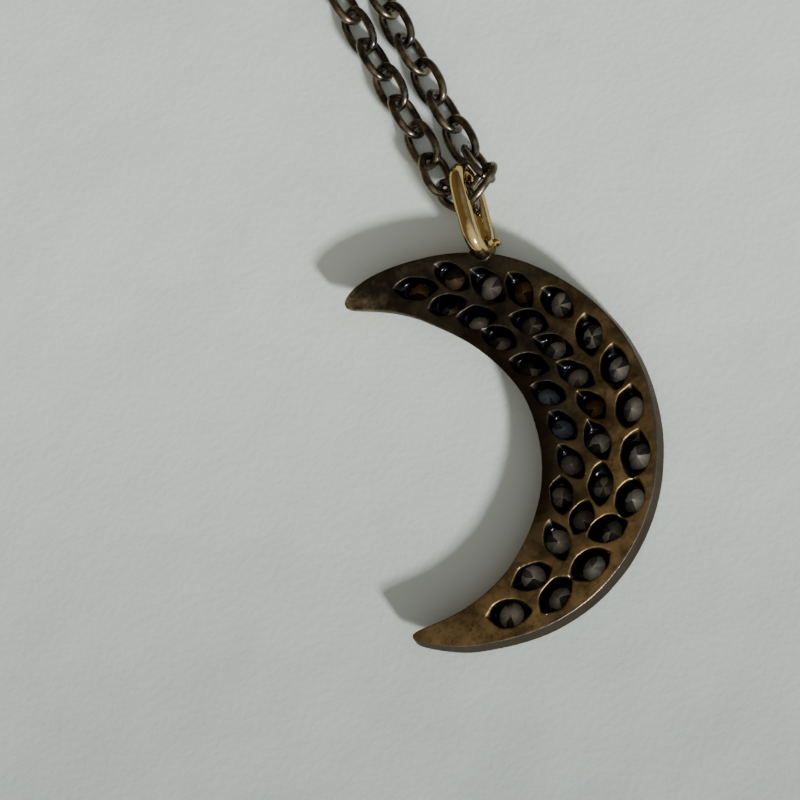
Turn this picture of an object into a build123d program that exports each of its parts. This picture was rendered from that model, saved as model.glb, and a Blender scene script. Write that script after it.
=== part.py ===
from build123d import *
import math
import os

# The crescent's plate, in millimetres. It lies face down: the flat back is up, the domed front below.
moon_radius = 11.2
moon_width = 7.45
plate_thickness = 2.1
wall_flare = 0.2
inner_undercut = 0.15
dome_rise_share = 0.105
tip_fillet = 0.1
upright_share = 0.9

# Bearing of each section from the crescent's centre, then its outer and inner edge as shares of
# moon_width from the middle line, and its thickness as a share of plate_thickness.
moon_sections = [
    # bearing, outer, inner, thickness
    (87.1, 0.006, 0.030, 0.40),
    (86.3, 0.034, 0.054, 0.44),
    (84.6, 0.070, 0.082, 0.49),
    (81.5, 0.109, 0.116, 0.57),
    (76.0, 0.151, 0.165, 0.68),
    (68.0, 0.193, 0.235, 0.80),
    (62.0, 0.226, 0.290, 0.86),
    (56.0, 0.262, 0.342, 0.91),
    (42.0, 0.345, 0.418, 0.98),
    (24.0, 0.410, 0.470, 1.00),
    (4.0, 0.476, 0.482, 1.00),
    (-16.0, 0.488, 0.487, 1.00),
    (-36.0, 0.470, 0.462, 1.00),
    (-54.0, 0.412, 0.420, 1.00),
    (-68.0, 0.338, 0.372, 0.97),
    (-82.0, 0.237, 0.305, 0.92),
    (-94.0, 0.144, 0.250, 0.85),
    (-104.0, 0.084, 0.196, 0.76),
    (-111.5, 0.028, 0.154, 0.66),
    (-116.0, -0.004, 0.122, 0.58),
    (-118.4, -0.026, 0.096, 0.53),
    (-119.5, -0.048, 0.074, 0.50),
]

# Round stones set from the front, with a leaf-shaped opening behind each.
stone_diameter = 1.7
stone_clearance = 0.05
table_share = 0.56
crown_share = 0.15
girdle_share = 0.04
pavilion_share = 0.43
culet_share = 0.05
stone_sides = 12
drill_share = 0.95
leaf_length = 3.0
leaf_floor_length_share = 0.62
leaf_width_share = 1.02
leaf_floor_width_share = 0.9
leaf_depth = 0.6

# Stones by row: bearing from the crescent's centre, place across it from the inner to the outer edge,
# size as a share of stone_diameter, the leaf's turn from square to the bearing, its length as a share.
stone_chart = [
    # bearing, across, size, turn, length
    (63.0, 0.50, 0.86, -3, 1.00),
    (52.0, 0.69, 0.90, -27, 0.98),
    (40.4, 0.65, 0.96, -24, 1.05),
    (31.0, 0.72, 0.90, -28, 0.90),
    (20.0, 0.79, 0.96, -3, 0.90),
    (7.3, 0.77, 0.96, -25, 0.95),
    (-4.0, 0.80, 1.00, -21, 1.00),
    (-15.4, 0.80, 1.00, -20, 0.96),
    (-28.0, 0.81, 1.06, -8, 1.05),
    (-39.6, 0.81, 1.00, -11, 0.92),
    (-49.2, 0.71, 0.96, -48, 0.88),
    (-60.3, 0.74, 1.04, -24, 1.02),
    (-72.8, 0.70, 0.98, 3, 0.96),
    (-87.4, 0.55, 1.00, -24, 0.98),
    (39.8, 0.28, 0.84, 21, 0.90),
    (22.9, 0.50, 0.90, 22, 0.88),
    (11.3, 0.47, 0.86, 27, 0.94),
    (-0.5, 0.48, 0.86, 31, 0.96),
    (-11.7, 0.50, 0.84, 30, 0.82),
    (-23.3, 0.49, 0.88, 21, 0.94),
    (-37.0, 0.53, 0.88, 6, 0.96),
    (-48.6, 0.44, 0.84, -3, 0.78),
    (51.6, 0.31, 0.80, 19, 0.86),
    (28.4, 0.21, 0.84, 7, 0.86),
    (11.9, 0.20, 0.84, 34, 0.90),
    (-1.8, 0.20, 0.84, 44, 0.84),
    (-16.0, 0.22, 0.84, 31, 0.84),
    (-30.2, 0.25, 0.84, 39, 0.88),
    (-43.0, 0.20, 0.82, 19, 0.84),
    (-58.8, 0.31, 0.92, 51, 0.95),
    (-74.0, 0.32, 0.94, -20, 0.93),
]

# Small beads raised round each stone on the front, which hold its crown.
bead_radius = 0.2
bead_count = 3
bead_setback = 0.12
bead_rise = 0.18
front_height = 0.21

# The bail: an oval ring of round wire standing on its side, one end let into the crescent's outer edge.
bail_length = 6.5
bail_width = 4.3
bail_wire = 1.0
bail_sink = 0.6
bail_heading = 76.4
bail_turn = 10
bail_bearing = 44.8
bail_edge_gap = 0.05
solder_radius = 0.5
solder_bearing = 46.5
solder_rise = 0.05
ball_radius = 0.3
ball_along = -2.2
ball_aside = 0.8
ball_height = 0.75

# The chain's oval links, flat sides turned by link_roll from one link to the next but one.
link_length = 3.4
link_width = 2.3
link_wire = 0.48
link_clearance = 0.2
link_roll = 33
floor_clearance = 0.01
links_each_side = 88

# The four links that join the strands through the bail, by hand: centre, then degrees.
bail_links = [
    # x, y, z, heading, climb, roll
    (-0.96, 3.44, 1.20, 81, -13, -47),
    (-0.48, 1.36, 1.48, 127, -20, 52),
    (1.12, 0.94, 2.52, 25, 3, 54),
    (1.70, 2.54, 1.54, 92, -24, -71),
]

# The chain's route: two strands side by side away from the bail, then a wide loop.
strand_middle = 0.31
strand_gap = 2.28
left_start = 5.71
right_start = 4.70
strands_end = 17.0
spread_radius = 50.0
spread_angle = 32
top_run = 12.0

# The hidden clasp: a ring with a small eye, level with the chain.
clasp_ring_diameter = 5.5
clasp_wire = 0.7
clasp_eye_diameter = 2.3
clasp_clearance = 0.15


def between_sections(bearing, column):
    """One column of moon_sections, read off between the two sections beside the bearing."""
    for first, second in zip(moon_sections, moon_sections[1:]):
        if first[0] >= bearing >= second[0]:
            share = (first[0] - bearing) / (first[0] - second[0])
            return first[column] + share * (second[column] - first[column])
    raise ValueError("the bearing lies past the crescent's tips")


def edges_at(bearing):
    """Radii of the inner and outer edge of the flat back."""
    outer = moon_radius + moon_width * between_sections(bearing, 1)
    inner = moon_radius - moon_width * between_sections(bearing, 2)
    return inner, outer


def direction(bearing):
    """Level unit vector along a bearing in degrees."""
    return Vector(math.cos(math.radians(bearing)), math.sin(math.radians(bearing)), 0)


# The bail's own plane, its x along the ring's length. The origin lies below the middle of the opening that
# the crescent's edge leaves in the ring.
upwards = Vector(0, 0, 1)
bail_along = direction(bail_heading)
bail_lean = math.radians(bail_turn)
bail_across = upwards * math.cos(bail_lean) - direction(bail_heading - 90) * math.sin(bail_lean)
bail_centre_height = (bail_width - bail_wire) / 2 * math.cos(bail_lean) + bail_wire / 2
bail_plane = Plane(
    origin=upwards * bail_centre_height - bail_along * bail_sink / 2,
    x_dir=bail_along, z_dir=bail_along.cross(bail_across),
)

# The crescent's centre, from the bail's end over the edge of its back.
bail_end = bail_along * -(bail_length - bail_wire + bail_sink) / 2
moon_centre = bail_end - direction(bail_bearing) * (edges_at(bail_bearing)[1] + bail_edge_gap)

# The crescent's heights. The beads lift the front off the surface.
back_height = front_height + plate_thickness
leaf_floor_height = back_height - leaf_depth
drill_overrun = 0.42
front_overrun = 0.5


def front_at(bearing):
    """Inner and outer radius of the domed front, the height of its ridge, and that of the walls' foot."""
    inner, outer = edges_at(bearing)
    ridge = back_height - plate_thickness * between_sections(bearing, 3)
    rise = dome_rise_share * (outer - inner)
    return inner + inner_undercut, outer + wall_flare, ridge, ridge + rise


def section_plane(bearing):
    """Upright plane through the crescent's centre, its x running outwards along the bearing."""
    outwards = direction(bearing)
    return Plane(origin=moon_centre, x_dir=outwards, z_dir=outwards.cross(upwards))


def reach_at(bearing, across):
    """Radius of a place across the crescent, from its inner edge at 0 to its outer edge at 1."""
    inner, outer = edges_at(bearing)
    return inner + across * (outer - inner)


def seat_plane(bearing, across):
    """Plane on the domed front where a stone sits, square to the dome and facing out of the metal."""
    front_inner, front_outer, ridge, wall_foot = front_at(bearing)
    middle = (front_inner + front_outer) / 2
    half = (front_outer - front_inner) / 2
    rise = wall_foot - ridge
    dome_radius = (half**2 + rise**2) / (2 * rise)
    bend_height = ridge + dome_radius
    lean = math.atan2(reach_at(bearing, across) - middle, bend_height - leaf_floor_height)
    upright = section_plane(bearing)
    reach = middle + dome_radius * math.sin(lean)
    height = bend_height - dome_radius * math.cos(lean)
    outwards = upright.x_dir * math.sin(lean) - upwards * math.cos(lean)
    return Plane(origin=upright.from_local_coords((reach, height, 0)), x_dir=upright.z_dir, z_dir=outwards)


def stone_sizes(size):
    """Radius of a stone, then the depths below its table of the girdle's two edges and of the culet."""
    diameter = size * stone_diameter
    girdle_top = diameter * crown_share
    girdle_foot = girdle_top + diameter * girdle_share
    return diameter / 2, girdle_top, girdle_foot, girdle_foot + diameter * pavilion_share


def ring_outline(plane, length, width):
    """Closed oval line on a plane: two runs along its x and two half circles."""
    run = (length - width) / 2
    bend = width / 2
    with BuildLine(plane) as outline:
        Line((-run, -bend), (run, -bend))
        ThreePointArc((run, -bend), (run + bend, 0), (run, bend))
        Line((run, bend), (-run, bend))
        ThreePointArc((-run, bend), (-run - bend, 0), (-run, -bend))
    return outline.wire()


with BuildPart() as drilled_seats:
    for bearing, across, size, *_ in stone_chart:
        seat = seat_plane(bearing, across)
        radius, girdle_top, girdle_foot, culet = stone_sizes(size)
        mouth = radius + stone_clearance
        drill = radius * drill_share
        foot = girdle_foot + (mouth - drill) * (culet - girdle_foot) / (radius * (1 - culet_share))
        deep = (leaf_floor_height - seat.origin.Z) / -seat.z_dir.Z + drill_overrun
        with BuildSketch(Plane(origin=seat.origin, x_dir=seat.x_dir, z_dir=seat.x_dir.cross(seat.z_dir))):
            Polygon(
                (0, -deep), (drill, -deep), (drill, -foot), (mouth, -girdle_foot),
                (mouth, front_overrun), (0, front_overrun), align=None,
            )
        revolve(axis=Axis(seat.origin, seat.z_dir))

with BuildPart() as leaf_openings:
    for bearing, across, size, turn, length in stone_chart:
        upright = section_plane(bearing)
        centre = upright.from_local_coords((reach_at(bearing, across), back_height, 0))
        along = Plane(origin=centre, z_dir=upwards).rotated((0, 0, bearing - 90 + turn))
        tip = length * leaf_length / 2
        side = size * stone_diameter * leaf_width_share / 2
        for depth, long_share, wide_share in (
            (0, 1, 1), (-leaf_depth, leaf_floor_length_share, leaf_floor_width_share)
        ):
            with BuildSketch(along.offset(depth)):
                with BuildLine():
                    ThreePointArc((-tip * long_share, 0), (0, side * wide_share), (tip * long_share, 0))
                    ThreePointArc((tip * long_share, 0), (0, -side * wide_share), (-tip * long_share, 0))
                make_face()
        loft()

# The solder joins the ring to the plate: a lump in the corner beside its end, and a ball by its lower leg.
solder_lump = moon_centre + direction(solder_bearing) * (edges_at(solder_bearing)[1] + wall_flare)
solder_ball = bail_along * ball_along + direction(bail_heading - 90) * ball_aside

with BuildPart() as soldered_bail:
    bail_outline = ring_outline(bail_plane, bail_length - bail_wire, bail_width - bail_wire)
    with BuildSketch(Plane(origin=bail_outline @ 0, z_dir=bail_outline % 0)):
        Circle(bail_wire / 2)
    sweep(path=bail_outline)
    with Locations(solder_lump + upwards * (bail_centre_height + solder_rise)):
        Sphere(solder_radius)
    with Locations(solder_ball + upwards * ball_height):
        Sphere(ball_radius)

with BuildPart() as crescent:
    for bearing, *_ in moon_sections:
        inner, outer = edges_at(bearing)
        front_inner, front_outer, ridge, wall_foot = front_at(bearing)
        middle = (front_inner + front_outer) / 2
        with BuildSketch(section_plane(bearing)):
            with BuildLine():
                Line((inner, back_height), (outer, back_height))
                Line((outer, back_height), (front_outer, wall_foot))
                ThreePointArc((front_outer, wall_foot), (middle, ridge), (front_inner, wall_foot))
                Line((front_inner, wall_foot), (inner, back_height))
            make_face()
    loft()
    fillet(crescent.edges().filter_by(lambda edge: abs((edge % 0).Z) > upright_share), radius=tip_fillet)
    add(soldered_bail.part)
    add(drilled_seats.part, mode=Mode.SUBTRACT)
    add(leaf_openings.part, mode=Mode.SUBTRACT)
    for bearing, across, size, *_ in stone_chart:
        seat = seat_plane(bearing, across)
        reach = stone_sizes(size)[0] + bead_setback
        with Locations(seat.offset(bead_rise - bead_radius)):
            with PolarLocations(reach, bead_count):
                Sphere(bead_radius)

os.makedirs("parts", exist_ok=True)
crescent.part.label = "crescent"
export_step(crescent.part, "parts/crescent.step")

for number, (bearing, across, size, *_) in enumerate(stone_chart, start=1):
    seat = seat_plane(bearing, across)
    radius, girdle_top, girdle_foot, culet = stone_sizes(size)
    with BuildPart() as stone:
        for depth, share in ((0, table_share), (girdle_top, 1), (girdle_foot, 1), (culet, culet_share)):
            with BuildSketch(seat.offset(-depth)):
                RegularPolygon(radius=radius * share, side_count=stone_sides)
        loft(ruled=True)
    stone.part.label = f"stone_{number:02d}"
    export_step(stone.part, f"parts/{stone.part.label}.step")

with BuildPart() as link:
    link_outline = ring_outline(Plane.XY, link_length - link_wire, link_width - link_wire)
    with BuildSketch(Plane(origin=link_outline @ 0, z_dir=link_outline % 0)):
        Circle(link_wire / 2)
    sweep(path=link_outline)


def link_place(centre, heading, climb, roll):
    """Place of a link: the heading of its long axis, its climb, and its roll from level."""
    along = Vector(1, 0, 0).rotate(Axis.Y, -climb).rotate(Axis.Z, heading)
    level = direction(heading - 90)
    lean = math.radians(roll)
    across = level * math.cos(lean) + level.cross(along) * math.sin(lean)
    return Plane(origin=centre, x_dir=along, z_dir=along.cross(across)).location


# The clasp's places along the chain, each from the ring's centre to the middle of the link beside it.
link_pitch = link_length - 2 * link_wire - link_clearance
link_half = (link_length - link_wire) / 2
ring_radius = (clasp_ring_diameter - clasp_wire) / 2
eye_radius = (clasp_eye_diameter - link_wire) / 2
eye_offset = ring_radius + eye_radius
to_left_link = ring_radius - (clasp_wire + link_wire) / 2 - clasp_clearance + link_half
to_right_link = eye_offset + eye_radius - link_wire - clasp_clearance + link_half

# The loop's run and bend that give the route the length of its links and clasp.
route_length = 2 * (links_each_side - 1) * link_pitch + to_left_link + to_right_link
turn_out = math.radians(spread_angle)
spread_shift = strand_gap / 2 + spread_radius * (1 - math.cos(turn_out)) - top_run / 2
straight = strands_end - (left_start + right_start) / 2
loop_length = route_length / 2 - straight - spread_radius * turn_out - top_run / 2
top_turn = turn_out + math.pi / 2
top_radius = (loop_length + spread_shift / math.sin(turn_out)) / (top_turn + 1 / math.tan(turn_out))
side_run = loop_length - top_radius * top_turn
link_reach = (link_width - link_wire) / 2 * math.cos(math.radians(link_roll))
chain_height = link_reach + link_wire / 2 + floor_clearance

with BuildLine() as route:
    left = strand_middle - strand_gap / 2
    right = strand_middle + strand_gap / 2
    up = Line((left, left_start, chain_height), (left, strands_end, chain_height))
    spread = JernArc(start=up @ 1, tangent=up % 1, radius=spread_radius, arc_size=spread_angle)
    side = Line(spread @ 1, spread @ 1 + (spread % 1) * side_run)
    bend = JernArc(start=side @ 1, tangent=side % 1, radius=top_radius, arc_size=-90 - spread_angle)
    top = Line(bend @ 1, bend @ 1 + (bend % 1) * top_run)
    bend_back = JernArc(start=top @ 1, tangent=top % 1, radius=top_radius, arc_size=-90 - spread_angle)
    side_back = Line(bend_back @ 1, bend_back @ 1 + (bend_back % 1) * side_run)
    close = JernArc(start=side_back @ 1, tangent=side_back % 1, radius=spread_radius, arc_size=spread_angle)
    Line(close @ 1, (right, right_start, chain_height))
chain_route = route.wire()

link_places = [link_place((x, y, z), *angles) for x, y, z, *angles in bail_links]
for number in range(links_each_side):
    roll = link_roll - 90 * (number % 2)
    for distance, turned in ((number * link_pitch, 0), (route_length - number * link_pitch, 180)):
        tangent = chain_route.tangent_at(distance, position_mode=PositionMode.LENGTH)
        heading = math.degrees(math.atan2(tangent.Y, tangent.X)) + turned
        centre = chain_route.position_at(distance, position_mode=PositionMode.LENGTH)
        link_places.append(link_place(centre, heading, 0, roll))

with BuildPart() as chain:
    with Locations(*link_places):
        add(link.part)
chain.part.label = "chain"
export_step(chain.part, "parts/chain.step")

clasp_distance = (links_each_side - 1) * link_pitch + to_left_link
clasp_middle = chain_route.position_at(clasp_distance, position_mode=PositionMode.LENGTH)
with BuildPart() as clasp:
    for wire, radius, offset in ((clasp_wire, ring_radius, 0), (link_wire, eye_radius, eye_offset)):
        with Locations(clasp_middle + Vector(offset, 0, 0)):
            Torus(major_radius=radius, minor_radius=wire / 2)
clasp.part.label = "clasp"
export_step(clasp.part, "parts/clasp.step")
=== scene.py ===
import math
import random

import bmesh
import bpy
import numpy as np
from mathutils import Matrix, Vector, noise


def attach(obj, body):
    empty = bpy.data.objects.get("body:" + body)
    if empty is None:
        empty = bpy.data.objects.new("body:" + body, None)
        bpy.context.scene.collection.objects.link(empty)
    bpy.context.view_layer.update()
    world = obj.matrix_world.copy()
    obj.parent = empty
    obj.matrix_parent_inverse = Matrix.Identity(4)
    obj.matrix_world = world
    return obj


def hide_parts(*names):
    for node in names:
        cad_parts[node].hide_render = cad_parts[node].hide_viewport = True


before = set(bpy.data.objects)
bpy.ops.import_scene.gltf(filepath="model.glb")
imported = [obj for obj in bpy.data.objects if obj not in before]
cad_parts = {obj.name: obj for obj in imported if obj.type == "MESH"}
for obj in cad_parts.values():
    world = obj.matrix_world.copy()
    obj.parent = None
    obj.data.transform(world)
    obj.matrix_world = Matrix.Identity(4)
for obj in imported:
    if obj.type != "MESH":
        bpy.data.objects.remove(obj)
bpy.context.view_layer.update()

# The camera looks down on the necklace from in front of the crescent's outer edge, 18 degrees off the
# vertical. It stands about as far away as a telephone held over a table.
camera_distance = 0.180
camera_tilt = math.radians(18)
camera_bearing = math.radians(-72.598)
camera_target = Vector((-0.009841, -0.007891, 0))
up_bearing = math.radians(62.402)
picture_up = Vector((math.cos(up_bearing), math.sin(up_bearing), 0))
pixels_per_unit_slope = 2880
picture_pixels = 800
camera_data = bpy.data.cameras.new("camera")
camera_data.sensor_width = 36
camera_data.lens = camera_data.sensor_width * pixels_per_unit_slope / picture_pixels
camera_data.clip_start = 0.01
camera_offset = Vector((
    math.cos(camera_bearing) * math.sin(camera_tilt),
    math.sin(camera_bearing) * math.sin(camera_tilt),
    math.cos(camera_tilt),
)) * camera_distance
look = -camera_offset.normalized()
picture_right = look.cross(picture_up).normalized()
camera = bpy.data.objects.new("camera", camera_data)
camera.matrix_world = Matrix.Translation(camera_target + camera_offset) @ Matrix((
    picture_right, picture_right.cross(look), -look
)).transposed().to_4x4()
bpy.context.scene.collection.objects.link(camera)
bpy.context.scene.camera = camera


# The surface is a sheet of thick white paper: matt, with a faint grain pressed into it and slow waves
# that show only as soft changes of shade. A painted shade makes it a little greyer towards the camera.
# It lies just below the necklace, because the casting's unevenness reaches a little under its lowest
# point.
def linear(hex_colour):
    """A colour written as sRGB hex, in the linear values that shaders take."""
    channels = [int(hex_colour[place:place + 2], 16) / 255 for place in (1, 3, 5)]
    return [c / 12.92 if c <= 0.04045 else ((c + 0.055) / 1.055) ** 2.4 for c in channels] + [1]


def add_node(material, kind, output, settings=(), inputs=()):
    """Adds a shader node with its settings and its inputs, values or links, and gives its output."""
    made = material.node_tree.nodes.new("ShaderNode" + kind)
    for name, value in dict(settings).items():
        setattr(made, name, value)
    for socket, value in dict(inputs).items():
        if isinstance(value, bpy.types.NodeSocket):
            material.node_tree.links.new(value, made.inputs[socket])
        else:
            made.inputs[socket].default_value = value
    return made.outputs[output]


def new_material(name):
    """A material with its shader, and the place on the piece that its patterns follow."""
    material = bpy.data.materials.new(name)
    material.use_nodes = True
    place = add_node(material, "TexCoord", "Object")
    return material, material.node_tree.nodes["Principled BSDF"], place


# A colour Mix node has its factor at input 0, its colours at 6 and 7, and its result at output 2.
of_colours = {"data_type": "RGBA"}
smoothly = {"interpolation_type": "SMOOTHSTEP"}
along_a_way = {"operation": "DOT_PRODUCT"}

millimetre = 0.001
paper_size = 1.2
paper_drop = 0.04 * millimetre
grain_size, grain_depth = 0.45 * millimetre, 0.05 * millimetre
wave_size, wave_depth = 9 * millimetre, 0.5 * millimetre
painted_shade_begins, painted_shade_ends = -5 * millimetre, 45 * millimetre
paper, shader, place = new_material("white_paper")
grain = add_node(paper, "TexNoise", "Fac", {}, {
    "Vector": place, "Scale": 1 / grain_size, "Detail": 3,
})
waves = add_node(paper, "TexNoise", "Fac", {}, {
    "Vector": place, "Scale": 1 / wave_size, "Detail": 2,
})
# Painted shade: the paper's colour turns a little greyer towards the camera.
nearness = add_node(paper, "VectorMath", "Value", along_a_way, {0: place, 1: -picture_up})
painted_shade = add_node(paper, "MapRange", "Result", smoothly, {
    "Value": nearness, "From Min": painted_shade_begins, "From Max": painted_shade_ends,
})
shade = add_node(paper, "Mix", 2, of_colours, {
    0: painted_shade, 6: linear("#d9e3df"), 7: linear("#a9b2b2"),
})
wave_shade = add_node(paper, "MapRange", "Result", smoothly, {
    "Value": waves, "From Min": 0.3, "From Max": 0.7, "To Max": 0.25,
})
shade = add_node(paper, "Mix", 2, of_colours, {0: wave_shade, 6: shade, 7: linear("#c9d2cf")})
wave_bump = add_node(paper, "Bump", "Normal", {}, {
    "Height": waves, "Distance": wave_depth, "Strength": 0.5,
})
grain_bump = add_node(paper, "Bump", "Normal", {}, {
    "Height": grain, "Distance": grain_depth, "Strength": 0.6, "Normal": wave_bump,
})
paper.node_tree.links.new(shade, shader.inputs["Base Color"])
paper.node_tree.links.new(grain_bump, shader.inputs["Normal"])
shader.inputs["Roughness"].default_value = 0.85
shader.inputs["Specular IOR Level"].default_value = 0.2

sheet = bmesh.new()
bmesh.ops.create_grid(sheet, x_segments=1, y_segments=1, size=paper_size / 2)
bmesh.ops.translate(sheet, verts=sheet.verts, vec=(0, 0, -paper_drop))
floor_mesh = bpy.data.meshes.new("floor")
sheet.to_mesh(floor_mesh)
sheet.free()
floor_mesh.materials.append(paper)
floor = bpy.data.objects.new("floor", floor_mesh)
bpy.context.scene.collection.objects.link(floor)


# The light: one window low on the lower right of the picture, and a dim room. The room is brighter
# round the window, cool on the right and warm on the left, so polished metal has light and dark to show.
def direction(bearing, height):
    """Unit vector along a bearing, raised above the level, both in degrees."""
    bearing, height = math.radians(bearing), math.radians(height)
    return Vector((
        math.cos(bearing) * math.cos(height), math.sin(bearing) * math.cos(height), math.sin(height)
    ))


window_distance = 0.9
window_side = 0.085
window_watts = 12.8
window_way = direction(-80, 28.5)
window_data = bpy.data.lights.new("window", "AREA")
window_data.shape = "SQUARE"
window_data.size = window_side
window_data.energy = window_watts
window_data.color = linear("#fbfbf6")[:3]
window = bpy.data.objects.new("window", window_data)
window.matrix_world = (
    Matrix.Translation(window_way * window_distance)
    @ window_way.to_track_quat("Z", "Y").to_matrix().to_4x4()
)
bpy.context.scene.collection.objects.link(window)

# Each patch of light in the room: its bearing and height, how far from its middle it reaches and how far
# it is at its full strength, all in degrees, and the colour that it adds.
room_patches = (
    (-80, 40, 72, 22, "#f4f5f4"),
    (-10, 30, 60, 10, "#56616e"),
    (150, 22, 70, 10, "#5a4e36"),
)
room_strength = 0.8
adding_light = {"data_type": "RGBA", "blend_type": "ADD"}
room = bpy.data.worlds.new("room")
room.use_nodes = True
sight = add_node(room, "TexCoord", "Object")
glow = linear("#695f4b")
for bearing, height, reach, core, colour in room_patches:
    facing = add_node(room, "VectorMath", "Value", along_a_way, {
        0: sight, 1: direction(bearing, height),
    })
    near = add_node(room, "MapRange", "Result", smoothly, {
        "Value": facing, "From Min": math.cos(math.radians(reach)),
        "From Max": math.cos(math.radians(core)),
    })
    glow = add_node(room, "Mix", 2, adding_light, {0: near, 6: glow, 7: linear(colour)})
room.node_tree.links.new(glow, room.node_tree.nodes["Background"].inputs["Color"])
room.node_tree.nodes["Background"].inputs["Strength"].default_value = room_strength
bpy.context.scene.world = room


# The crescent is one casting of silver, blackened and worn, with its gold bail soldered on. Its openings
# were cut by hand, so a copy of the CAD solid is remeshed finely, and their edges are softened and made
# uneven.
def evaluated(piece):
    """The piece's mesh with its modifiers applied."""
    bpy.context.view_layer.update()
    return bpy.data.meshes.new_from_object(piece.evaluated_get(bpy.context.evaluated_depsgraph_get()))


def new_piece(name, mesh, material, node):
    """Puts a finished mesh in the scene as a piece that stands for a CAD node."""
    piece = bpy.data.objects.new(name, mesh)
    bpy.context.scene.collection.objects.link(piece)
    mesh.materials.clear()
    mesh.materials.append(material)
    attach(piece, "root")
    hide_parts(node)


def merged_copy(node):
    """A closed bmesh copy of a CAD node, whose triangles are loose."""
    copy = bmesh.new()
    copy.from_mesh(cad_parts[node].data)
    bmesh.ops.remove_doubles(copy, verts=copy.verts, dist=same_corner)
    return copy


def ramp(values, none, full):
    """0 at the first limit and before it, 1 at the second and past it, and even between them."""
    return np.clip((values - none) / (full - none), 0, 1)


# The casting is worked in millimetres, because a remesh finer than 0.1 mm needs a scaled mesh.
same_corner = 0.0001 * millimetre
voxel = 0.052
plate_triangles = 196000
casting = merged_copy("crescent")
bmesh.ops.scale(casting, vec=(1 / millimetre,) * 3, verts=casting.verts)
rough_mesh = bpy.data.meshes.new("casting")
casting.to_mesh(rough_mesh)
casting.free()
rough = bpy.data.objects.new("casting", rough_mesh)
bpy.context.scene.collection.objects.link(rough)
remesh = rough.modifiers.new("remesh", "REMESH")
remesh.mode = "VOXEL"
remesh.voxel_size = voxel
soften = rough.modifiers.new("soften", "SMOOTH")
soften.factor = 0.5
soften.iterations = 2
fine = evaluated(rough)
rough.modifiers.clear()
rough.data = fine
fine.calc_loop_triangles()
thin = rough.modifiers.new("thin", "DECIMATE")
thin.ratio = plate_triangles / len(fine.loop_triangles)
crescent_mesh = evaluated(rough)
crescent_mesh.name = "crescent_plate"
bpy.data.objects.remove(rough)

# Every vertex by its place, its normal, and its bearing in degrees and distance from the moon's centre.
moon_centre = np.array((-10.4288, -12.6197))
places, normals = np.empty((2, len(crescent_mesh.vertices) * 3), np.float32)
crescent_mesh.vertices.foreach_get("co", places)
crescent_mesh.vertices.foreach_get("normal", normals)
places = places.reshape(-1, 3).astype(float)
normals = normals.reshape(-1, 3).astype(float)
heights, upwards = places[:, 2], normals[:, 2]
from_centre = places[:, :2] - moon_centre
bearings = np.degrees(np.arctan2(from_centre[:, 1], from_centre[:, 0]))
radii = np.hypot(from_centre[:, 0], from_centre[:, 1])

# The edges of the flat back are read from the mesh, bearing by bearing. The bail lies beyond plate_reach.
back_height, height_play, level_enough = 2.31, 0.06, 0.95
plate_reach = 15.4
first_bearing, last_bearing, bearing_step = -119, 88, 2
bearing_overlap = 0.75
on_back = (
    (upwards > level_enough) & (np.abs(heights - back_height) < height_play) & (radii < plate_reach)
)
stops = np.arange(first_bearing, last_bearing, bearing_step)
inner_stops, outer_stops = [], []
for stop in stops:
    here = radii[on_back & (np.abs(bearings - stop) < bearing_step * bearing_overlap)]
    inner_stops.append(here.min())
    outer_stops.append(here.max())
inner_edge = np.interp(bearings, stops, inner_stops)
outer_edge = np.interp(bearings, stops, outer_stops)


def on_arc(begins, full, fades, ends):
    """How far each vertex lies on a stretch of the moon with soft ends, by bearings in degrees."""
    return ramp(bearings, begins, full) * ramp(bearings, ends, fades)


# Where each finish lies, from 0 to 1. A pair of numbers is where it begins and where it is full, in
# millimetres from an edge, below the back or up from the paper, and in shares for the way a face looks.
from_inner_edge, below_back = radii - inner_edge, back_height - heights
off_the_edges = (0.15, 0.3)
inside = ramp(from_inner_edge, *off_the_edges) * ramp(outer_edge - radii, *off_the_edges)
opening_walls = inside * ramp(upwards, -0.5, -0.2)
wall_flare = 0.2 * (1 - heights / back_height)
gold = ramp(radii - outer_edge - wall_flare, 0.12, 0.2) * on_arc(20, 24, 70, 75)
across = ramp(from_inner_edge, 0.8, 5)
# The golden bronze below and towards the outer edge is partly the black rubbed thin and partly painted
# light, where the plate catches more light.
rubbed_and_lit_below, rubbed_and_lit_outside, less_inside = 0.8, 0.5, 0.45
rubbed_and_lit = np.clip(
    rubbed_and_lit_below * ramp(bearings, 20, -55) + rubbed_and_lit_outside * across * ramp(bearings, 45, 5)
    - less_inside * (1 - across) * ramp(bearings, -80, -60), 0, 1
)
solder_place = np.array((-0.95, -2.45, 2.15))
from_solder = np.linalg.norm(places - solder_place, axis=1)

# An edge of the metal that stands proud is worn: the mesh falls away from it on all sides.
edge_ends = np.empty(len(crescent_mesh.edges) * 2, np.int32)
crescent_mesh.edges.foreach_get("vertices", edge_ends)
start, end = edge_ends.reshape(-1, 2).T
steps = places[end] - places[start]
lengths = np.linalg.norm(steps, axis=1)
rises, reaches = np.zeros(len(places)), np.zeros(len(places))
np.add.at(rises, start, np.einsum("ij,ij->i", steps, normals[start]))
np.add.at(rises, end, -np.einsum("ij,ij->i", steps, normals[end]))
np.add.at(reaches, start, lengths)
np.add.at(reaches, end, lengths)

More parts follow.
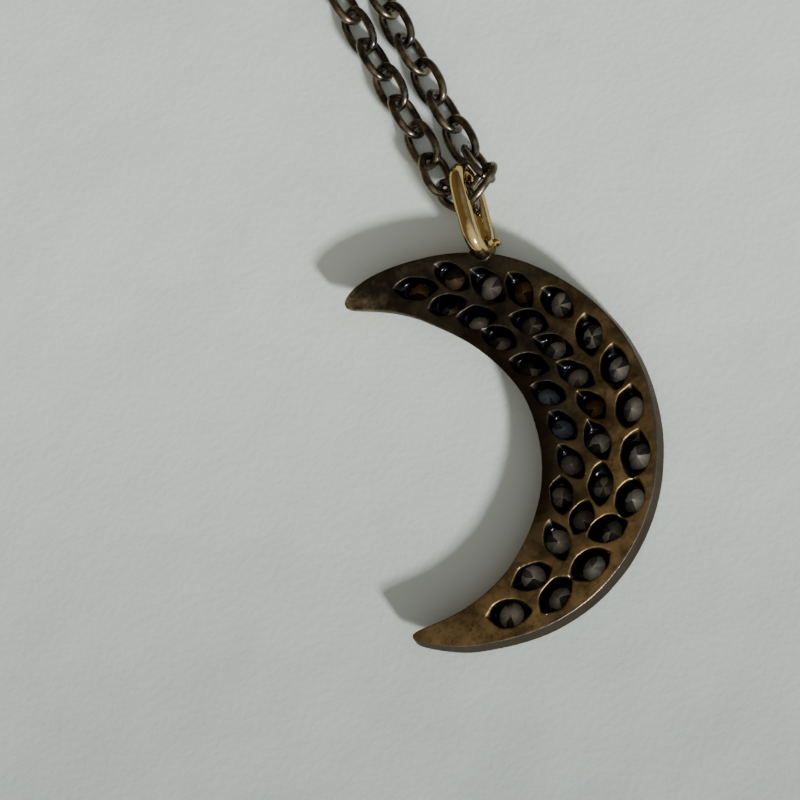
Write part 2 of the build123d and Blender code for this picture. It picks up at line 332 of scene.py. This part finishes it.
# All are shares but one: around is the way round the moon in millimetres, for the file's strokes.
finishes = {
    "cut": opening_walls * ramp(below_back, 0.05, 0.25),
    "deep": opening_walls * ramp(below_back, 0.25, 0.7),
    "side": ramp(radii - outer_edge, -0.1, -0.02) * (1 - gold),
    "filed": ramp(from_inner_edge, 0.75, 0.45) * on_arc(-62, -48, -12, 2),
    "gold": gold,
    "soldered": ramp(from_solder, 0.42, 0.3),
    "worn": ramp(-rises / reaches, 0.12, 0.3) * ramp(upwards, -0.2, 0.3),
    "around": np.radians(bearings) * radii,
    "rubbed_and_lit": rubbed_and_lit,
    "horn": ramp(bearings, 72, 84),
    "margin": ramp(from_inner_edge, 1.7, 0.5) * on_arc(-66, -50, 20, 60),
}

# The casting and the gold wire are a little wavy, and the graver's uneven strokes move the openings'
# upper walls sideways. Each pair is a wave's size and its depth in millimetres. The vector noise takes its
# seed from the clock unless it is given one.
casting_waves = ((1.3, 0.018), (0.4, 0.006))
gold_wave_size, gold_wave_depth = 1.7, 0.03
graver_strokes = ((0.75, 0.085), (0.3, 0.02))
stroke_steepness = 0.3
stroke_seed = 5
noise.seed_set(stroke_seed)
upper_walls = inside * ramp(heights, 1.5, 1.9)
moved = places.copy()
for number, (spot, way) in enumerate(zip(places, normals)):
    spot = Vector(spot)
    swell = sum(noise.noise(spot / size) * depth for size, depth in casting_waves)
    if gold[number] > 0:
        swell += noise.noise(spot / gold_wave_size) * gold_wave_depth
    moved[number] += way * swell
    if upper_walls[number] > 0:
        upright = Vector((spot.x, spot.y, spot.z * stroke_steepness))
        stroke = Vector()
        for size, depth in graver_strokes:
            stroke += noise.noise_vector(upright / size) * depth
        moved[number] += np.array((stroke.x, stroke.y, 0)) * upper_walls[number]
crescent_mesh.vertices.foreach_set("co", (moved * millimetre).astype(np.float32).ravel())
for name, values in finishes.items():
    layer = crescent_mesh.attributes.new(name, "FLOAT", "POINT")
    layer.data.foreach_set("value", values.astype(np.float32))
crescent_mesh.shade_smooth()
crescent_mesh.update()

# Silver darkened by liver of sulphur and then handled: brown-black above and a golden bronze below and
# towards the outer edge, bright on its edges and grey on its polished outer wall. The bronze is partly the
# black rubbed thin and partly painted light, where the plate catches more light. The bail is 14 carat
# yellow gold. The tint keeps the metal dull where it is seen at a grazing angle, as tarnish does.
oxide, shader, place = new_material("oxidised_silver")
marks = {name: add_node(oxide, "Attribute", "Fac", {"attribute_name": name}) for name in finishes}
patch_size, speck_size = 1.9 * millimetre, 0.45 * millimetre
stripe_millimetres = 0.35
patches = add_node(oxide, "TexNoise", "Fac", {}, {
    "Vector": place, "Scale": 1 / patch_size, "Detail": 5, "Roughness": 0.65,
})
specks = add_node(oxide, "TexNoise", "Fac", {}, {
    "Vector": place, "Scale": 1 / speck_size, "Detail": 4, "Roughness": 0.7,
})
stripes = add_node(oxide, "TexNoise", "Fac", {"noise_dimensions": "1D"}, {
    "W": marks["around"], "Scale": 1 / stripe_millimetres, "Detail": 2,
})

mottled = {}
for name, low, high, dark, pale in (
    ("black", 0.35, 0.7, "#332e27", "#4f483b"),
    ("bronze", 0.3, 0.66, "#54462f", "#8f7650"),
    ("horn", 0.38, 0.62, "#544c3f", "#b3a283"),
):
    paleness = add_node(oxide, "MapRange", "Result", smoothly, {
        "Value": patches, "From Min": low, "From Max": high,
    })
    mottled[name] = add_node(oxide, "Mix", 2, of_colours, {
        0: paleness, 6: linear(dark), 7: linear(pale),
    })
polished = add_node(oxide, "Mix", 2, of_colours, {
    0: patches, 6: linear("#38332f"), 7: linear("#706a64"),
})

dark_specks = add_node(oxide, "MapRange", "Result", smoothly, {
    "Value": specks, "From Min": 0.52, "From Max": 0.7, "To Max": 0.55,
})
file_strokes = add_node(oxide, "MapRange", "Result", smoothly, {
    "Value": stripes, "From Min": 0.4, "From Max": 0.6,
})
uneven_wear = add_node(oxide, "MapRange", "Result", smoothly, {
    "Value": specks, "From Min": 0.3, "From Max": 0.6, "To Min": 0.4,
})
multiplied = {"operation": "MULTIPLY"}
striped = add_node(oxide, "Math", "Value", multiplied, {0: marks["filed"], 1: file_strokes})
wear = add_node(oxide, "Math", "Value", multiplied, {0: marks["worn"], 1: uneven_wear})
colour = mottled["black"]
for mask, above in (
    # Bronze below and outside: partly rubbed oxide, partly painted light.
    (marks["rubbed_and_lit"], mottled["bronze"]),
    (marks["horn"], mottled["horn"]),
    (marks["margin"], linear("#2c2318")),
    (dark_specks, linear("#2e2921")),
    (striped, linear("#2b2117")),
    (marks["side"], polished),
    (wear, linear("#a39c8f")),
    (marks["cut"], linear("#3c3d42")),
    (marks["deep"], linear("#0e0e10")),
    (marks["gold"], linear("#ccb07c")),
    (marks["soldered"], linear("#d8d4c8")),
):
    colour = add_node(oxide, "Mix", 2, of_colours, {0: mask, 6: colour, 7: above})

gloss = add_node(oxide, "MapRange", "Result", smoothly, {
    "Value": patches, "From Min": 0.3, "From Max": 0.7, "To Min": 0.34, "To Max": 0.46,
})
for name, roughness in (
    ("side", 0.3), ("worn", 0.22), ("cut", 0.2), ("gold", 0.13), ("soldered", 0.16),
):
    gloss = add_node(oxide, "Mix", 0, {"data_type": "FLOAT"}, {
        0: marks[name], 2: gloss, 3: roughness,
    })
dents = add_node(oxide, "Bump", "Normal", {}, {
    "Height": patches, "Distance": 0.05 * millimetre, "Strength": 0.35,
})
scratches = add_node(oxide, "Bump", "Normal", {}, {
    "Height": specks, "Distance": 0.02 * millimetre, "Strength": 0.35, "Normal": dents,
})
oxide.node_tree.links.new(colour, shader.inputs["Base Color"])
oxide.node_tree.links.new(gloss, shader.inputs["Roughness"])
oxide.node_tree.links.new(scratches, shader.inputs["Normal"])
shader.inputs["Metallic"].default_value = 1
shader.inputs["Specular Tint"].default_value = linear("#bdb6ae")
new_piece("crescent_plate", crescent_mesh, oxide, "crescent")

# The stones are small round diamonds from dark brown to a pale champagne grey, set face down, so that
# their pointed backs show. How light each stone is holds painted light as well as its colour, and stones
# 26 and 27 carry a painted bluish glint. Each flat of the CAD stone's back is cut again into small facets,
# and groups of facets round the stone are lighter or darker together, in painted light.
# Each stone's shade: its colour, made lighter or darker by painted light; the bluish grey of 26 and 27 is
# a painted glint.
stone_shades = {
    "#fffbef": (7, 9, 10),
    "#f2ebdc": (3, 5, 6, 8, 11, 12, 17, 20),
    "#d6ccba": (13, 14, 15, 16, 18, 21, 30, 31),
    "#c9a48c": (2,),
    "#94704f": (1, 4, 19),
    "#9a907f": (22, 23, 24, 25, 28, 29),
    "#8c97a6": (26, 27),
}
# The painted light of each group of facets, as a share of the stone's shade.
facet_shades = (1.0, 0.95, 0.6, 0.3, 1.0, 0.85, 0.15)
facet_groups = 7
facet_least = 0.82
facet_rise = 0.012 * millimetre
girdle_slope, point_slope = 0.2, 0.98
same_flat = math.radians(1)

# Diamond: a strong mirror-like shine for something clear, from its high IOR. Light that comes back out of
# it makes each facet lighter or darker, which a tone on the facet stands for. Faint clouds lie inside.
cloud_size = 0.22 * millimetre
diamond, shader, place = new_material("champagne_diamond")
tone = add_node(diamond, "Attribute", "Color", {"attribute_name": "facet_tone"})
clouds = add_node(diamond, "TexNoise", "Fac", {}, {
    "Vector": place, "Scale": 1 / cloud_size, "Detail": 3, "Roughness": 0.6,
})
cloudiness = add_node(diamond, "MapRange", "Result", smoothly, {
    "Value": clouds, "From Min": 0.55, "From Max": 0.8, "To Max": 0.5,
})
cloudy = add_node(diamond, "Mix", 2, of_colours, {0: cloudiness, 6: tone, 7: linear("#2c241c")})
diamond.node_tree.links.new(cloudy, shader.inputs["Base Color"])
shader.inputs["Roughness"].default_value = 0.06
shader.inputs["IOR"].default_value = 2.42
for shade_hex, numbers in stone_shades.items():
    for number in numbers:
        draw = random.Random(number)
        stone = merged_copy(f"stone_{number:02d}")
        bmesh.ops.dissolve_limit(
            stone, angle_limit=same_flat, verts=stone.verts, edges=stone.edges
        )
        table = max(stone.faces, key=lambda face: face.calc_area())
        back_way = -table.normal.normalized()
        middle = table.calc_center_median()
        back = [
            face for face in stone.faces if girdle_slope < face.normal.dot(back_way) < point_slope
        ]
        bmesh.ops.poke(stone, faces=back, offset=facet_rise, center_mode="MEAN_WEIGHTED")
        side_way = back_way.orthogonal().normalized()
        other_way = back_way.cross(side_way)
        group_shades = [draw.choice(facet_shades) for group in range(facet_groups)]
        tones = []
        for face in stone.faces:
            outwards = face.calc_center_median() - middle
            turn = math.atan2(outwards.dot(other_way), outwards.dot(side_way)) % math.tau
            group = int(turn / math.tau * facet_groups)
            strength = group_shades[group] * draw.uniform(facet_least, 1)
            tones += [channel * strength for channel in linear(shade_hex)[:3]] + [1]
        stone_mesh = bpy.data.meshes.new(f"diamond_{number:02d}")
        stone.to_mesh(stone_mesh)
        stone.free()
        facet_tone = stone_mesh.attributes.new("facet_tone", "FLOAT_COLOR", "FACE")
        facet_tone.data.foreach_set("color", tones)
        new_piece(f"diamond_{number:02d}", stone_mesh, diamond, f"stone_{number:02d}")

# The chain is an oval cable chain of round oxidised silver wire, each link bent round and soldered shut.
# Here a link is a ring of wire drawn out to an oval that is fuller than an ellipse, and it is laid in the
# place of each link of the CAD chain. Its wire is a little thicker than the CAD's, as the photograph's is.
link_length = 3.4 * millimetre
link_width = 2.3 * millimetre
cad_wire = 0.48 * millimetre
link_wire = 0.53 * millimetre
wire_sides = 12
ring_steps = 30
ring_seam = 0.001 * millimetre
oval_power = 0.8
link_bend = (link_width - cad_wire) / 2
link_reach = (link_length - cad_wire) / 2

ring = bmesh.new()
section = bmesh.ops.create_circle(ring, segments=wire_sides, radius=link_wire / 2)["verts"]
bmesh.ops.rotate(ring, verts=section, matrix=Matrix.Rotation(math.pi / 2, 3, "X"))
bmesh.ops.translate(ring, verts=section, vec=(link_bend, 0, 0))
bmesh.ops.spin(
    ring, geom=ring.verts[:] + ring.edges[:], cent=(0, 0, 0), axis=(0, 0, 1), angle=math.tau,
    steps=ring_steps, use_merge=True,
)
bmesh.ops.remove_doubles(ring, verts=ring.verts, dist=ring_seam)
bmesh.ops.recalc_face_normals(ring, faces=ring.faces)


def fuller(share):
    """A cosine or sine of the ring's turn, carried out to the fuller oval."""
    return math.copysign(abs(share) ** oval_power, share)


for vertex in ring.verts:
    turn = math.atan2(vertex.co.y, vertex.co.x)
    lengthways, across = math.cos(turn), math.sin(turn)
    vertex.co.x += fuller(lengthways) * link_reach - lengthways * link_bend
    vertex.co.y += (fuller(across) - across) * link_bend
for face in ring.faces:
    face.smooth = True
link_mesh = bpy.data.meshes.new("link")
ring.to_mesh(link_mesh)
ring.free()

# Each link of the CAD chain is one island of its mesh. Its length and width give the new link's place.
# The islands are taken in the mesh's own order, so that every run gives the same chain.
cad_chain = merged_copy("chain")
link_places = []
unseen = set(cad_chain.verts)
for first in cad_chain.verts:
    if first not in unseen:
        continue
    unseen.remove(first)
    island, to_search = [], [first]
    while to_search:
        vertex = to_search.pop()
        island.append(vertex.co[:])
        for edge in vertex.link_edges:
            other = edge.other_vert(vertex)
            if other in unseen:
                unseen.remove(other)
                to_search.append(other)
    points = np.array(island)
    axes = np.linalg.eigh(np.cov((points - points.mean(0)).T))[1]
    along, across = Vector(axes[:, 2]), Vector(axes[:, 1])
    if along.y < 0:
        along = -along
    if across.z < 0:
        across = -across
    turn = Matrix((along, across, along.cross(across))).transposed().to_4x4()
    link_places.append(Matrix.Translation(Vector(points.mean(0))) @ turn)
cad_chain.free()
micrometre_digits = 6
link_places.sort(
    key=lambda matrix: (round(matrix.translation.y, micrometre_digits), matrix.translation.x)
)

# Blackened silver wire with a bronze sheen in the patches where the black has rubbed thin.
tarnish_size = 0.9 * millimetre
gunmetal, shader, place = new_material("oxidised_silver_wire")
tarnish = add_node(gunmetal, "TexNoise", "Fac", {}, {
    "Vector": place, "Scale": 1 / tarnish_size, "Detail": 4, "Roughness": 0.6,
})
sheen = add_node(gunmetal, "MapRange", "Result", smoothly, {
    "Value": tarnish, "From Min": 0.35, "From Max": 0.68,
})
colour = add_node(gunmetal, "Mix", 2, of_colours, {
    0: sheen, 6: linear("#474542"), 7: linear("#80745f"),
})
gloss = add_node(gunmetal, "MapRange", "Result", smoothly, {
    "Value": tarnish, "From Min": 0.3, "From Max": 0.7, "To Min": 0.2, "To Max": 0.34,
})
pits = add_node(gunmetal, "Bump", "Normal", {}, {
    "Height": tarnish, "Distance": 0.03 * millimetre, "Strength": 0.3,
})
gunmetal.node_tree.links.new(colour, shader.inputs["Base Color"])
gunmetal.node_tree.links.new(gloss, shader.inputs["Roughness"])
gunmetal.node_tree.links.new(pits, shader.inputs["Normal"])
shader.inputs["Metallic"].default_value = 1

strand_middle = 0.31 * millimetre
for name, side in (("chain_left", -1), ("chain_right", 1)):
    strand = bmesh.new()
    for matrix in link_places:
        if (matrix.translation.x - strand_middle) * side > 0:
            count = len(strand.verts)
            strand.from_mesh(link_mesh)
            strand.verts.ensure_lookup_table()
            bmesh.ops.transform(strand, matrix=matrix, verts=strand.verts[count:])
    strand_mesh = bpy.data.meshes.new(name)
    strand.to_mesh(strand_mesh)
    strand.free()
    new_piece(name, strand_mesh, gunmetal, "chain")

# The clasp is a plain ring of thicker silver wire with a small eye soldered to its side. It is blackened
# like the links, and the chain's two end links hang in it.
same_curve = math.radians(0.5)
clasp_shapes = merged_copy("clasp")
bmesh.ops.dissolve_limit(
    clasp_shapes, angle_limit=same_curve, verts=clasp_shapes.verts, edges=clasp_shapes.edges
)
for face in clasp_shapes.faces:
    face.smooth = True
clasp_mesh = bpy.data.meshes.new("clasp_ring")
clasp_shapes.to_mesh(clasp_mesh)
clasp_shapes.free()
new_piece("clasp_ring", clasp_mesh, gunmetal, "clasp")
